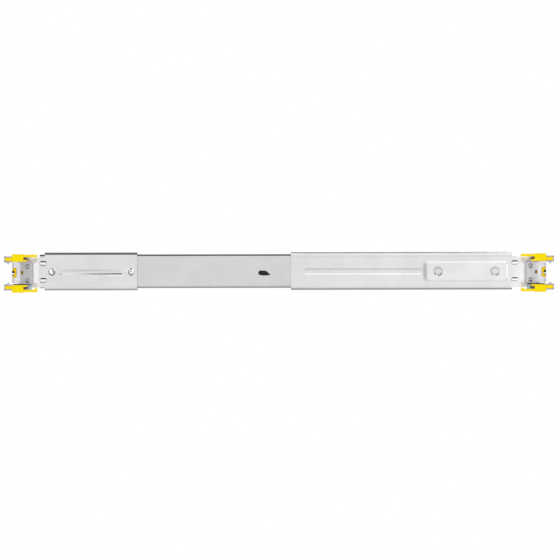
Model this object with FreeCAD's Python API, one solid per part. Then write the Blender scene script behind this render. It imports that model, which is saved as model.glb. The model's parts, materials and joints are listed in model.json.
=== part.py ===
"""Right-hand sliding server rail: a ball-race slide carried between two toolless rack heads.

Millimetres.  +X runs along the rail from the front rack post to the rear one, -Y faces the
rack post (outboard), +Y faces the server, +Z is up.  The origin is the front screw hole's
centre on the front flange face, in line with the rack's column of square holes.
"""
import FreeCAD
import Part
import math
import os

V = FreeCAD.Vector

# ---- rack standard ----------------------------------------------------------------
HOLE_PITCH = 31.75              # first to third hole of one rack unit
SQUARE_HOLE = 9.5               # side of a rack post's square hole

# ---- overall layout along X -------------------------------------------------------
RAIL_LENGTH = 581.2             # front flange face to rear flange face, as stored
FRONT_CHANNEL_START = 35.1
FRONT_CHANNEL_END = 136.0
REAR_CHANNEL_REACH = 277.7      # rear flange face to the rear channel's far end
REAR_CHANNEL_MARGIN = 36.6      # rear flange face to its near end
OUTER_START, OUTER_END = 29.6, RAIL_LENGTH - 81.0
MIDDLE_START, MIDDLE_END = 60.0, OUTER_END - 20.0
INNER_START, INNER_END = 12.0, MIDDLE_END - 10.0
FULL_OVERLAP = 110.0            # of neighbouring members at full extension
MIDDLE_TRAVEL = MIDDLE_END - OUTER_START - FULL_OVERLAP     # middle member's, in the outer one
INNER_TRAVEL = INNER_END - MIDDLE_START - FULL_OVERLAP      # inner member's, in the middle one
SLIDE_Z = 2.2                   # slide's centre above the hole pattern's centre

# ---- sheet channels ---------------------------------------------------------------
SHEET = 1.5                     # channel and head stamping
CHANNEL_FACE_Y = 4.5            # outboard face of the channel webs
CHANNEL_PLAY = 0.75             # between a channel's flange and the outer member
CHANNEL_BEND = 2.0              # centre-line radius
LIP_BEND = 1.4
LIP_REACH = 4.45                # how far the inturned lip comes down from the flange's face
LIP_GAP = 0.22                  # between a lip and the outer member it traps

# ---- ball-race slide --------------------------------------------------------------
BALL_R = 1.5
BALL_PLAY = 0.08
MEMBER = 1.2                    # thickness of the three slide members
OUTER_HEIGHT = 36.8
WEB_STANDOFF = 1.0              # channel web to outer member
MIDDLE_GAP = 1.0                # outer web to middle web
MIDDLE_BEND = 1.2
CRADLE_ANGLE = 20.0             # swing of the middle member's race between its ball rows
INNER_CRADLE = 30.0
RACE_LIP = 0.5
INNER_FACE_Y = 15.9             # face that the server chassis is fastened to
CAGE = 0.5
CAGE_LENGTH = 100.0
CAGE_MARGIN = 5.0               # between a cage and its members' ends at full extension
OUTER_CAGE_START = OUTER_START + CAGE_MARGIN + MIDDLE_TRAVEL / 2
INNER_CAGE_START = MIDDLE_START + CAGE_MARGIN + INNER_TRAVEL / 2
CAGE_EDGE = 1.4                 # cage strip beyond its ball centres
BALLS_PER_ROW = 4
BALL_POCKET_PLAY = 0.1
INNER_CAGE_GAP = 0.14           # middle web to inner cage

# ---- head stampings ---------------------------------------------------------------
NECK_START = 28.0               # where the web starts to step inboard
HEAD_STEP = 2.9                 # depth of that step
HEAD_STEP_ANGLE = 25.0
HEAD_PLATE_FRONT = 6.0
HEAD_PLATE_HALF, HEAD_PLATE_LOW = 17.0, 15.4
NECK_TOP, NECK_BOTTOM = 18.0, -15.4
NECK_CORNER = 2.0               # length of full-height neck in front of the channel
PLATE = 1.2                     # end plate and prong bracket
PLATE_REAR = 20.6
FLANGE_HALF, FLANGE_LOW = 11.3, 10.6
FLANGE_OUTBOARD = 8.0
FLANGE_BEND = 1.6
FLANGE_BEND_ANGLE = 65.0
LEG_BEND = 2.0
LEG_START = 8.4                 # where the end plate's leg lies flat
PRONG_TIP = 8.7
PRONG_HEIGHT = 6.4
PRONG_INSET = 0.575             # prong's centre inboard of its hole's centre, to leave room for the barb
PRONG_PLAY = 0.25               # between a prong and the side of its square hole
PRONG_WEB_Y = 4.0               # centre line of the prong's web
PRONG_STEP_ANGLE = 35.0
PRONG_STEP_BEND = 1.8
PRONG_OUTER_LENGTH = 12.0       # outer flange's end behind the flange face
PRONG_LEAD = 1.2                # chamfer at a prong's tip
BARB_ROOM = 0.4                 # prong slot beyond the barb
SEAT_MARGIN = 0.4

# ---- release slides, hooks and their springs ----------------------------------------
RUN_GAP = 0.1
NOSE_LENGTH = 7.6
NOSE_BACK = 2.0
NOSE_INBOARD_Y = 2.0
BODY_BACK = 12.7
BODY_LOW, BODY_HIGH = 12.6, 21.0
COVER = 1.6
ARM_END = 27.4
ARM_LOW, ARM_HIGH = 17.6, 20.4
ARM_INBOARD_Y = 2.0
UPPER_THUMB_DROP, LOWER_THUMB_DROP = 0.0, 1.6
HOOK = 1.2
HOOK_PIVOT_X = 15.0
HOOK_HUB_R = 1.9
HOOK_PIN_R = 0.9
HOOK_PIN_PLAY = 0.05
HOOK_PIN_HEAD = 0.6             # pin head's overhang and height
HOOK_BACK_RISE = 0.76           # top of the hook's back end above its pivot
BARB_APEX_X, BARB_APEX_Z = -4.3, 9.5
BARB_BACK_X = -2.0
HOOK_TIP_X, HOOK_TIP_HEIGHT = -8.4, 1.2
CAM_FRONT, CAM_BACK = -1.0, 0.6
CAM_RISE = 0.8
CAM_RAMP = 4.0                  # length of the slope that the cam lifts the hook by
CAM_NOTCH = (0.5, 0.3, 0.2)     # notch beyond the cam: front foot, front top and back top
SPRING_STRIP = 0.3              # thickness of the flat spring
SPRING_WIDTH, SPRING_HEIGHT = 2.6, 3.2
SPRING_FOLDS = 4
SPRING_PLAY = 0.03
SPRING_Y = -1.5
SPRING_SEAT_X = 11.6
SPRING_SEAT = 1.0
NOSE_LEAD = 1.0                 # chamfer at the nose's tip
BODY_CORNER = 1.0
THUMB, THUMB_CORNER = 2.4, 1.1
SLIDE_LEG = ((0, 0), (3.0, 0), (4.4, 1.2), (3.2, 2.4), (0, 1.6))    # short leg behind the body

# ---- threaded insert and its holder -------------------------------------------------
INSERT_R = 3.2
THREAD_R = 2.1                  # M5 thread, minor radius
INSERT_LENGTH = 4.7
HOLDER_BACK = 4.7
HOLDER_HEIGHT = 11.1
HOLDER_Z = 0.85
HOLDER_OUTBOARD, HOLDER_INBOARD = -6.0, 3.9
HOLDER_CORNER = 2.4
MOUTH_R, MOUTH_X, MOUTH_Z = 3.0, 0.2, 0.3       # round opening in the flange and the holder
PEG_X, PEG_Z = 10.4, 0.9
PEG_HALF_X, PEG_HALF_Z = 1.35, 2.2

# ---- rivets -------------------------------------------------------------------------
DISHED_HEAD = ((0, 0.35), (0.33, 0.35), (0.55, 1.0), (0.8, 0.8), (1.0, 0.25))  # radius, height
DOMED_HEAD = ((0, 0.75), (0.15, 0.75), (0.34, 1.0), (0.7, 0.6), (1.0, 0.14))
FLAT_HEAD = ((0, 1.0), (0.85, 1.0), (1.0, 0.7))
HEAD_RIVET_X, HEAD_RIVET_Z = 16.5, 7.5
HEAD_RIVET_R, HEAD_RIVET_SHANK, HEAD_RIVET_HEIGHT = 2.7, 1.4, 1.0
CHANNEL_RIVET_X = (43.3, 128.9)
CHANNEL_RIVET_R, CHANNEL_RIVET_SHANK, CHANNEL_RIVET_HEIGHT = 4.2, 2.0, 1.5
CHANNEL_SHOULDER = 1.6          # spacer's radius beyond the channel rivet's shank
GUIDE_RIVET_REACH = (117.2, 55.2)       # from the rear flange face
GUIDE_RIVET_R, GUIDE_RIVET_SHANK, GUIDE_RIVET_HEIGHT = 3.1, 2.0, 0.8
FASTENER_Z = 1.6                # height of the channel and guide rivets
COUNTERSINK = 0.9

# ---- pressed features -----------------------------------------------------------------
FRONT_GROOVE = (52.0, 118.6, 5.4, 0.25, 0.98, 0.9)    # start, end, width, end depths, lower draft
REAR_GROOVE = (133.8, 263.8, 7.4, 0.7, 0.7, 1.8)      # the same, from the rear flange face
GROOVE_DRAFT = 2.4
PLATEAU_NEAR, PLATEAU_FAR = 40.8, 132.8      # from the rear flange face
PLATEAU_HEIGHT = 22.9
PLATEAU_RISE = 1.0
PLATEAU_RAMP = 4.3              # long slope at the plateau's front end
PLATEAU_DRAFT = 2.2
PLATEAU_CORNER, PLATEAU_FOOT_CORNER = 3.0, 5.0
DIMPLE_R, DIMPLE_FLOOR_R, DIMPLE_RIM, DIMPLE_SINK = 5.3, 3.4, 0.2, 0.6
PRESSED_WALL = 1.05             # sheet left in a drawn wall
GLIDE_MARGIN = 3.0
WINDOW_START, WINDOW_END = 268.0, 281.3
WINDOW_TOP, WINDOW_BOTTOM = 2.8, -2.3
WINDOW_SAG, WINDOW_LEAN = 0.3, 5.2      # bow of the bottom edge, slant of the rear one
WINDOW_FALL = (0.2, 0.5)        # how far the rear edge stops short of top and bottom
LANCE_LENGTH, LANCE_SLIT = 5.3, 1.3
LANCE_FOOT, LANCE_CREST, LANCE_RISE = 3.4, 2.4, 0.45     # hood below the slit
LANCE_DEPTH = 0.55              # ramp behind its crest
LANCE_SPREAD = 1.0
LANCE_CORNERS = (0.5, 1.2)      # corner radii of the slit and of the hood
LANCE_X = 33.6
LANCE_Z = (12.1, -6.4)

# ---- inner slide fittings ---------------------------------------------------------------
CHASSIS_HOLE_X = (60.0, 420.0)
CHASSIS_HOLE_R = 2.25
KEYHOLE_X = (130.0, 240.0, 350.0)
KEYHOLE_R, KEYHOLE_SLOT_R, KEYHOLE_LENGTH = 4.0, 2.0, 9.0
LEVER_SETBACK = 15.0
LEVER_X = MIDDLE_START + INNER_TRAVEL - LEVER_SETBACK
LEVER = 1.6
LEVER_GAP = 0.2
LEVER_ARM, LEVER_HALF = 30.0, 3.0
LEVER_HUB_R = 4.2
LEVER_PIN_R = 1.6
LEVER_HOOK_X, LEVER_HOOK_Z = 17.5, 6.5
LEVER_NOSE = (4.0, 5.0)         # hook's lower and upper corner beyond its catching edge
LEVER_CATCH = (0.6, 0.4)        # undercut of the catching edge
LEVER_RIVET_HEAD = 1.2
STOP_TAB_LOW, STOP_TAB_HIGH = 4.0, 7.4
STOP_TAB_Y = 14.0
BUMPER_GAP = 0.5
BUMPER_LENGTH, BUMPER_HALF, BUMPER_DEPTH = 12.0, 9.0, 5.4
BUMPER_CORNER, BUMPER_FLOOR = 2.0, 1.5
BUMPER_RELIEF = (0.62, 0.28)    # relief hole's centre and radius as shares of the length
BUFFER_NEAR, BUFFER_FAR = 29.0, 40.0    # rear end buffer, from the rear flange face
BUFFER_LOW, BUFFER_HIGH, BUFFER_DEPTH = -9.5, 15.5, 6.0
PAD_LENGTH = 9.0                # front pad between the channel and the outer member
STRIP_START, STRIP_END = 1.6, 20.4      # wear strip along the lower prong
STRIP_LOW, STRIP_HIGH = -12.5, -11.45
STRIP_OUTBOARD, STRIP_INBOARD = -5.3, 3.0

# ---- derived sizes -----------------------------------------------------------------------
CHANNEL_MID_Y = CHANNEL_FACE_Y + SHEET / 2
CHANNEL_BACK_Y = CHANNEL_FACE_Y + SHEET
CHANNEL_HALF = OUTER_HEIGHT / 2 + CHANNEL_PLAY + SHEET
OUTER_FACE_Y = CHANNEL_BACK_Y + WEB_STANDOFF
OUTER_WEB_Y = OUTER_FACE_Y + MEMBER / 2
RACE_R = BALL_R + BALL_PLAY + MEMBER / 2
MIDDLE_FACE_Y = OUTER_FACE_Y + MEMBER + MIDDLE_GAP
MIDDLE_WEB_Y = MIDDLE_FACE_Y + MEMBER / 2
OUTER_BALL = (MIDDLE_WEB_Y + MIDDLE_BEND, OUTER_HEIGHT / 2 - MEMBER / 2 - RACE_R)
SWING = math.radians(CRADLE_ANGLE)
INNER_BALL = (OUTER_BALL[0] + 2 * RACE_R * math.sin(SWING), OUTER_BALL[1] - 2 * RACE_R * math.cos(SWING))
INNER_WEB_Y = INNER_FACE_Y - MEMBER / 2
OUTER_MEMBER_BACK_Y = OUTER_BALL[0] + RACE_R + MEMBER / 2
LIP_Y = OUTER_MEMBER_BACK_Y + LIP_GAP + SHEET / 2
HEAD_MID_Y = CHANNEL_MID_Y + HEAD_STEP
HEAD_FACE_Y = HEAD_MID_Y - SHEET / 2
HEAD_BACK_Y = HEAD_MID_Y + SHEET / 2
BRACKET_MID_Y = HEAD_FACE_Y - PLATE / 2
LEG_MID_Y = BRACKET_MID_Y - PLATE
LEG_FACE_Y = LEG_MID_Y - PLATE / 2
PRONG_CENTRE = HOLE_PITCH / 2 - PRONG_INSET
PRONG_OPEN_Y = PRONG_PLAY - SQUARE_HOLE / 2
PRONG_LOW = PRONG_CENTRE - PRONG_HEIGHT / 2
PRONG_HIGH = PRONG_CENTRE + PRONG_HEIGHT / 2
NOSE_LOW = PRONG_LOW + PLATE + RUN_GAP
NOSE_HIGH = PRONG_HIGH - PLATE - RUN_GAP
COVER_BACK_Y = PRONG_OPEN_Y - RUN_GAP
COVER_FACE_Y = COVER_BACK_Y - COVER
HOOK_Y = PRONG_WEB_Y - PLATE / 2 - RUN_GAP - HOOK
DIMPLE_FLOOR_Y = CHANNEL_FACE_Y + DIMPLE_SINK
GUIDE_RIVET_X = tuple(RAIL_LENGTH - reach for reach in GUIDE_RIVET_REACH)
PLATEAU_START, PLATEAU_END = RAIL_LENGTH - PLATEAU_FAR, RAIL_LENGTH - PLATEAU_NEAR


# ---- building blocks -----------------------------------------------------------------------
def in_section(x):
    """Places section coordinates (y, z) on the plane at x."""
    return lambda p: V(x, p.real, p.imag)


def in_plan(z):
    """Places plan coordinates (x, y) on the plane at height z."""
    return lambda p: V(p.real, p.imag, z)


def in_side(y):
    """Places side-view coordinates (x, z) on the plane at y."""
    return lambda p: V(p.real, y, p.imag)


def walk(start, heading, steps):
    """Centre line of a bent strip: yields (from, direction, to, direction, bend's centre, its middle)."""
    point = complex(*start)
    along = complex(math.cos(math.radians(heading)), math.sin(math.radians(heading)))
    for step in steps:
        if step[0] == "run":
            end = point + step[1] * along
            yield point, along, end, along, None, None
            point = end
        else:
            radius, turn = step[1], math.radians(step[2])
            centre = point + 1j * along * math.copysign(radius, turn)
            half_spin = complex(math.cos(turn / 2), math.sin(turn / 2))
            spin = half_spin * half_spin
            end = centre + (point - centre) * spin
            yield point, along, end, along * spin, centre, centre + (point - centre) * half_spin
            point, along = end, along * spin


def strip_end(start, heading, steps):
    """End point and heading of a bent strip's centre line."""
    for _, _, end, along, _, _ in walk(start, heading, steps):
        last = (end, along)
    return last


def strip_face(start, heading, steps, thickness, place):
    """Face of a bent strip of constant thickness, from its centre line."""
    sides = {1: [], -1: []}
    corners = {1: [], -1: []}
    for begin, along, end, out, centre, middle in walk(start, heading, steps):
        for side in sides:
            shift = side * 0.5j * thickness
            first, last = begin + shift * along, end + shift * out
            if centre is None:
                edge = Part.LineSegment(place(first), place(last))
            else:
                reach = abs(first - centre) / abs(middle - centre)
                edge = Part.Arc(place(first), place(centre + reach * (middle - centre)), place(last))
            sides[side].append(edge.toShape())
            corners[side] += [first, last]
    caps = [Part.LineSegment(place(corners[1][k]), place(corners[-1][k])).toShape() for k in (0, -1)]
    edges = sides[1] + [caps[1]] + sides[-1][::-1] + [caps[0]]
    return Part.Face(Part.Wire(Part.__sortEdges__(edges)))


def profile(web_y, half_steps, thickness, start, length):
    """Roll-formed section, the same above and below its centre, run along X."""
    end, along = strip_end((web_y, 0), 90, half_steps)
    back = math.degrees(math.atan2(-along.imag, along.real)) + 180
    steps = half_steps[::-1] + half_steps
    place = in_section(start)
    face = strip_face((end.real, -end.imag), back, steps, thickness, place)
    solid = face.extrude(V(length, 0, 0))
    solid.translate(V(0, 0, SLIDE_Z))
    return solid


def polygon(points, place, sweep):
    """Prism over a polygon given in side, plan or section coordinates."""
    corners = [place(complex(*p)) for p in points]
    return Part.Face(Part.makePolygon(corners + corners[:1])).extrude(sweep)


def box(x, y, z):
    """Block between the low and high values of each axis."""
    return Part.makeBox(x[1] - x[0], y[1] - y[0], z[1] - z[0], V(x[0], y[0], z[0]))


def rod(radius, start, direction, length):
    """Cylinder from a point along a direction."""
    return Part.makeCylinder(radius, length, V(*start), V(*direction))


def turned(points, x, z):
    """Turned piece about an axis along Y: points are (radius, y)."""
    corners = [V(r, y, 0) for r, y in points]
    face = Part.Face(Part.makePolygon(corners + corners[:1]))
    solid = face.revolve(V(0, 0, 0), V(0, 1, 0), 360)
    solid.translate(V(x, 0, z))
    return solid


def rounded_wire(x, z, radius, y, rear_y=None):
    """Rounded rectangle in the side view at depth y, or leaning from y to rear_y along X."""
    x0, x1 = x
    z0, z1 = z
    r = min(radius, (z1 - z0) / 2 - 1e-3, (x1 - x0) / 2 - 1e-3)
    k = r * (1 - math.sqrt(0.5))
    lean = 0 if rear_y is None else (rear_y - y) / (x1 - x0)

    def place(point):
        return V(point[0], y + lean * (point[0] - x0), point[1])

    runs = [((x0 + r, z0), (x1 - r, z0), (x1 - k, z0 + k)),
            ((x1, z0 + r), (x1, z1 - r), (x1 - k, z1 - k)),
            ((x1 - r, z1), (x0 + r, z1), (x0 + k, z1 - k)),
            ((x0, z1 - r), (x0, z0 + r), (x0 + k, z0 + k))]
    edges = []
    for number, (begin, end, mid) in enumerate(runs):
        after = runs[(number + 1) % len(runs)][0]
        a, b, m, c = [place(point) for point in (begin, end, mid, after)]
        edges.append(Part.LineSegment(a, b).toShape())
        edges.append(Part.Arc(b, m, c).toShape())
    return Part.Wire(edges)


def drafted(x, z, radius, y, far_x, far_z, far_radius, far_y, far_rear_y=None):
    """Solid between two rounded rectangles at two depths, as a press tool leaves it."""
    near = rounded_wire(x, z, radius, y)
    far = rounded_wire(far_x, far_z, far_radius, far_y, far_rear_y)
    return Part.makeLoft([near, far], True, True)


def edges_along_y(solid):
    """Straight edges that run in depth."""
    return [edge for edge in solid.Edges if abs(edge.tangentAt(0).y) > 0.9]


def joined(shapes):
    """One clean solid from overlapping shapes."""
    return shapes[0].fuse(shapes[1:]).removeSplitter()


def mirrored_up(shape):
    """The same piece below the hole pattern's centre."""
    return shape.mirror(V(0, 0, 0), V(0, 0, 1))


def to_rear(shape):
    """A front-head piece turned into its rear-head twin."""
    return shape.mirror(V(RAIL_LENGTH / 2, 0, 0), V(1, 0, 0))


# ---- slide members ---------------------------------------------------------------------------
def channel_steps():
    flange_mid = CHANNEL_HALF - SHEET / 2
    return [("run", flange_mid - CHANNEL_BEND), ("bend", CHANNEL_BEND, -90),
            ("run", LIP_Y - LIP_BEND - CHANNEL_MID_Y - CHANNEL_BEND), ("bend", LIP_BEND, -90),
            ("run", LIP_REACH - SHEET / 2 - LIP_BEND)]


def outer_steps():
    flat = OUTER_BALL[0] - OUTER_WEB_Y - RACE_R
    return [("run", OUTER_BALL[1]), ("bend", RACE_R, -90), ("run", flat),
            ("bend", RACE_R, -90), ("run", RACE_LIP)]


def middle_steps():
    return [("run", OUTER_BALL[1] - RACE_R - MIDDLE_BEND), ("bend", MIDDLE_BEND, -90),
            ("bend", RACE_R, CRADLE_ANGLE), ("bend", RACE_R, -90 - CRADLE_ANGLE), ("run", RACE_LIP)]


def inner_steps():
    return [("run", INNER_BALL[1] - RACE_R - MIDDLE_BEND), ("bend", MIDDLE_BEND, 90),
            ("run", INNER_WEB_Y - MIDDLE_BEND - INNER_BALL[0]), ("bend", RACE_R, -INNER_CRADLE)]


def cage(web_y, ball, start):
    """Ball retainer: a web joining two strips with a round pocket for each ball."""
    steps = [("run", ball[1] - CAGE), ("bend", CAGE, -90), ("run", ball[0] + CAGE_EDGE - web_y - CAGE)]
    body = profile(web_y, steps, CAGE, start, CAGE_LENGTH)
    for x, z in ball_places(ball, start):
        body = body.cut(rod(BALL_R + BALL_POCKET_PLAY, (x, ball[0], z - BALL_R), (0, 0, 1), 2 * BALL_R))
    return body


def ball_places(ball, start):
    pitch = CAGE_LENGTH / BALLS_PER_ROW
    for row in (1, -1):
        for number in range(BALLS_PER_ROW):
            yield start + pitch * (number + 0.5), SLIDE_Z + row * ball[1]


def balls(ball, start):
    return Part.makeCompound([Part.makeSphere(BALL_R, V(x, ball[0], z)) for x, z in ball_places(ball, start)])


def outer_member():
    body = profile(OUTER_WEB_Y, outer_steps(), MEMBER, OUTER_START, OUTER_END - OUTER_START)
    middle = (WINDOW_TOP + WINDOW_BOTTOM) / 2
    half = (WINDOW_TOP - WINDOW_BOTTOM) / 2
    side = in_side(OUTER_FACE_Y)
    corner = WINDOW_START + half
    front_high, front_low = side(complex(corner, WINDOW_TOP)), side(complex(corner, WINDOW_BOTTOM))
    rear_low = side(complex(WINDOW_END, WINDOW_BOTTOM + WINDOW_FALL[1]))
    rear_high = side(complex(WINDOW_END - WINDOW_LEAN, WINDOW_TOP - WINDOW_FALL[0]))
    bottom_mid = side(complex((corner + WINDOW_END) / 2, WINDOW_BOTTOM - WINDOW_SAG))
    outline = [Part.Arc(front_high, side(complex(WINDOW_START, middle)), front_low),
               Part.Arc(front_low, bottom_mid, rear_low),
               Part.LineSegment(rear_low, rear_high),
               Part.LineSegment(rear_high, front_high)]
    window = Part.Face(Part.Wire([edge.toShape() for edge in outline])).extrude(V(0, MEMBER, 0))
    body = body.cut(window)
    for x in CHANNEL_RIVET_X:
        body = body.cut(channel_rivet(x))
    return body


def middle_member():
    body = profile(MIDDLE_WEB_Y, middle_steps(), MEMBER, MIDDLE_START, MIDDLE_END - MIDDLE_START)
    tab = box((MIDDLE_START, MIDDLE_START + MEMBER), (MIDDLE_WEB_Y, STOP_TAB_Y),
              (SLIDE_Z + STOP_TAB_LOW, SLIDE_Z + STOP_TAB_HIGH))
    return joined([body, tab])


def inner_member():
    body = profile(INNER_WEB_Y, inner_steps(), MEMBER, INNER_START, INNER_END - INNER_START)
    low_y = INNER_FACE_Y - 2 * MEMBER
    for x in CHASSIS_HOLE_X:
        body = body.cut(rod(CHASSIS_HOLE_R, (x, low_y, SLIDE_Z), (0, 1, 0), 3 * MEMBER))
    for x in KEYHOLE_X:
        slot = box((x, x + KEYHOLE_LENGTH), (low_y, low_y + 3 * MEMBER),
                   (SLIDE_Z - KEYHOLE_SLOT_R, SLIDE_Z + KEYHOLE_SLOT_R))
        end = rod(KEYHOLE_SLOT_R, (x + KEYHOLE_LENGTH, low_y, SLIDE_Z), (0, 1, 0), 3 * MEMBER)
        hole = rod(KEYHOLE_R, (x, low_y, SLIDE_Z), (0, 1, 0), 3 * MEMBER)
        body = body.cut([hole, slot, end])
    return body.cut(lever_rivet())


def lever_rivet():
    """Shoulder rivet that the disconnect lever turns on, flush with the chassis face."""
    web_back = INNER_FACE_Y - MEMBER
    lever_face = web_back - LEVER_GAP - LEVER
    head_r, head_face = LEVER_PIN_R + LEVER_RIVET_HEAD, lever_face - LEVER_RIVET_HEAD
    return turned([(0, head_face), (head_r, head_face),
                   (head_r, lever_face - RUN_GAP), (LEVER_PIN_R, lever_face - RUN_GAP),
                   (LEVER_PIN_R, INNER_FACE_Y - COUNTERSINK), (LEVER_PIN_R + COUNTERSINK, INNER_FACE_Y),
                   (0, INNER_FACE_Y)], LEVER_X, SLIDE_Z)


def disconnect_lever():
    """Flat lever on the inner member: its hook meets the middle member's stop tab when drawn out."""
    y = INNER_FACE_Y - MEMBER - LEVER_GAP - LEVER
    x = LEVER_X
    sweep = V(0, LEVER, 0)
    hub = rod(LEVER_HUB_R, (x, y, SLIDE_Z), (0, 1, 0), LEVER)
    arm = box((x - LEVER_ARM, x), (y, y + LEVER), (SLIDE_Z - LEVER_HALF, SLIDE_Z + LEVER_HALF))
    end = rod(LEVER_HALF, (x - LEVER_ARM, y, SLIDE_Z), (0, 1, 0), LEVER)
    catch = x + LEVER_HOOK_X
    high, low = SLIDE_Z + LEVER_HALF, SLIDE_Z - LEVER_HALF
    hook = polygon([(x, low), (catch + LEVER_NOSE[0], low + LEVER_HALF / 2), (catch + LEVER_NOSE[1], high),
                    (catch, SLIDE_Z + LEVER_HOOK_Z), (catch - LEVER_CATCH[0], high - LEVER_CATCH[1]),
                    (x, high)], in_side(y), sweep)
    bore = rod(LEVER_PIN_R + HOOK_PIN_PLAY, (x, y, SLIDE_Z), (0, 1, 0), LEVER)
    return joined([hub, arm, end, hook]).cut(bore)


def closed_stop_bumper():
    """Moulded stop on the outer member's web, behind the closed middle member."""
    start = MIDDLE_END + BUMPER_GAP
    face_y = OUTER_FACE_Y + MEMBER
    block = box((start, start + BUMPER_LENGTH), (face_y, face_y + BUMPER_DEPTH),
                (SLIDE_Z - BUMPER_HALF, SLIDE_Z + BUMPER_HALF))
    centre, radius = (BUMPER_LENGTH * share for share in BUMPER_RELIEF)
    relief = rod(radius, (start + centre, face_y + BUMPER_FLOOR, SLIDE_Z), (0, 1, 0), BUMPER_DEPTH)
    return block.makeFillet(BUMPER_CORNER, edges_along_y(block)).cut(relief)


def front_slide_pad():
    """Thin pad behind the front lances that keeps the outer member off the channel's web."""
    return box((OUTER_START, OUTER_START + PAD_LENGTH), (CHANNEL_BACK_Y, OUTER_FACE_Y),
               (BUFFER_LOW, BUFFER_HIGH))


def rear_end_buffer():
    """Moulded buffer behind the rear lances, met by the outer member when the rail is shortest."""
    block = box((RAIL_LENGTH - BUFFER_FAR, RAIL_LENGTH - BUFFER_NEAR),
                (CHANNEL_BACK_Y, CHANNEL_BACK_Y + BUFFER_DEPTH), (BUFFER_LOW, BUFFER_HIGH))
    return block.makeFillet(BUMPER_CORNER, edges_along_y(block))


# ---- channels ----------------------------------------------------------------------------------
def stepped(offset, angle, radius, turn):
    """Two bends and a run that shift a strip sideways without turning it."""
    lean = math.radians(angle)
    run = (offset - 2 * radius * (1 - math.cos(lean))) / math.sin(lean)
    return [("bend", radius, turn * angle), ("run", run), ("bend", radius, -turn * angle)]


def head_plate(channel_start):
    """Web in front of the channel: neck, inboard step and the plate that carries the head."""
    steps = [("run", channel_start + SHEET - NECK_START)]
    steps += stepped(HEAD_STEP, HEAD_STEP_ANGLE, CHANNEL_BEND, -1)
    start = (channel_start + SHEET, CHANNEL_MID_Y)
    reached, _ = strip_end(start, 180, steps)
    steps.append(("run", reached.real - HEAD_PLATE_FRONT))
    tall = NECK_TOP - NECK_BOTTOM
    sheet = strip_face(start, 180, steps, SHEET, in_plan(NECK_BOTTOM)).extrude(V(0, 0, tall))
    outline = [(HEAD_PLATE_FRONT, -HEAD_PLATE_LOW), (HEAD_PLATE_FRONT, HEAD_PLATE_HALF),
               (NECK_START, HEAD_PLATE_HALF), (channel_start - NECK_CORNER, NECK_TOP),
               (channel_start + SHEET, NECK_TOP), (channel_start + SHEET, NECK_BOTTOM),
               (NECK_START, -HEAD_PLATE_LOW)]
    return sheet.common(polygon(outline, in_side(0), V(0, 2 * HEAD_BACK_Y, 0)))


def lance(z):
    """A short slit with a low hood below it: (metal added, metal taken away)."""
    half = LANCE_LENGTH / 2
    slit_r, hood_r = LANCE_CORNERS
    along = (LANCE_X - half, LANCE_X + half)
    wide = (along[0] - LANCE_SPREAD, along[1] + LANCE_SPREAD)
    slit_z, crest_y = (z, z + LANCE_SLIT), CHANNEL_FACE_Y - LANCE_RISE
    slit = drafted(along, slit_z, slit_r, 0, along, slit_z, slit_r, HEAD_MID_Y)
    hood = drafted(wide, (z - LANCE_FOOT, slit_z[1]), hood_r, CHANNEL_FACE_Y,
                   wide, (z - LANCE_CREST, z), hood_r, crest_y)
    ramp = drafted(wide, (z - LANCE_CREST, slit_z[1]), hood_r, crest_y,
                   along, slit_z, slit_r, CHANNEL_FACE_Y + LANCE_DEPTH)
    return hood, [slit, ramp]


def groove(spec):
    """Long press-formed groove: (metal added behind, metal taken from the front)."""
    start, end, width, start_depth, end_depth, low_draft = spec

    def pressed(grow, near):
        half = width / 2 + grow
        x = (start - grow, end + grow)
        z = (FASTENER_Z - half, FASTENER_Z + half)
        far_x = (x[0] + GROOVE_DRAFT, x[1] - GROOVE_DRAFT)
        far_z = (z[0] + low_draft, z[1] - GROOVE_DRAFT)
        return drafted(x, z, half, near, far_x, far_z, (far_z[1] - far_z[0]) / 2,
                       near + start_depth, near + end_depth)

    return pressed(SHEET / 2, CHANNEL_BACK_Y), pressed(0, CHANNEL_FACE_Y)


def channel(start, end, head_start, groove_spec):
    """One channel with its head plate, as a single stamping, in front-head coordinates."""
    body = profile(CHANNEL_MID_Y, channel_steps(), SHEET, start, end - start)
    floor, hollow = groove(groove_spec)
    parts, cuts = [body, head_plate(head_start), floor], [hollow]
    for z in LANCE_Z:
        hood, openings = lance(z)
        parts.append(hood)
        cuts += openings
    body = joined(parts).cut(cuts)
    for sign in (1, -1):
        body = body.cut(head_rivet(sign))
        body = body.cut(pin_hole(sign))
    return body.cut(peg(0))


def pin_hole(sign):
    return rod(HOOK_PIN_R, (HOOK_PIVOT_X, 0, sign * PRONG_CENTRE), (0, 1, 0), HEAD_BACK_Y + 1)


def front_channel():
    body = channel(FRONT_CHANNEL_START, FRONT_CHANNEL_END, FRONT_CHANNEL_START, FRONT_GROOVE)
    for x in CHANNEL_RIVET_X:
        body = body.cut(channel_rivet(x))
    return body


def plateau(grow, near_y, far_y):
    """Raised field that houses the glide strip, sloped all round."""
    half = PLATEAU_HEIGHT / 2 + grow
    x = (PLATEAU_START - grow, PLATEAU_END + grow)
    far_x = (PLATEAU_START - grow + PLATEAU_RAMP, PLATEAU_END + grow - PLATEAU_DRAFT)
    z = (FASTENER_Z - half, FASTENER_Z + half)
    far_z = (z[0] + PLATEAU_DRAFT, z[1] - PLATEAU_DRAFT)
    return drafted(x, z, PLATEAU_FOOT_CORNER, near_y, far_x, far_z, PLATEAU_CORNER, far_y)


def dimple(x, grow, near_y, far_y):
    """Cone-sided dimple round a guide rivet."""
    return turned([(0, near_y), (DIMPLE_R + grow, near_y), (DIMPLE_FLOOR_R + grow, far_y), (0, far_y)],
                  x, FASTENER_Z)


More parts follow.
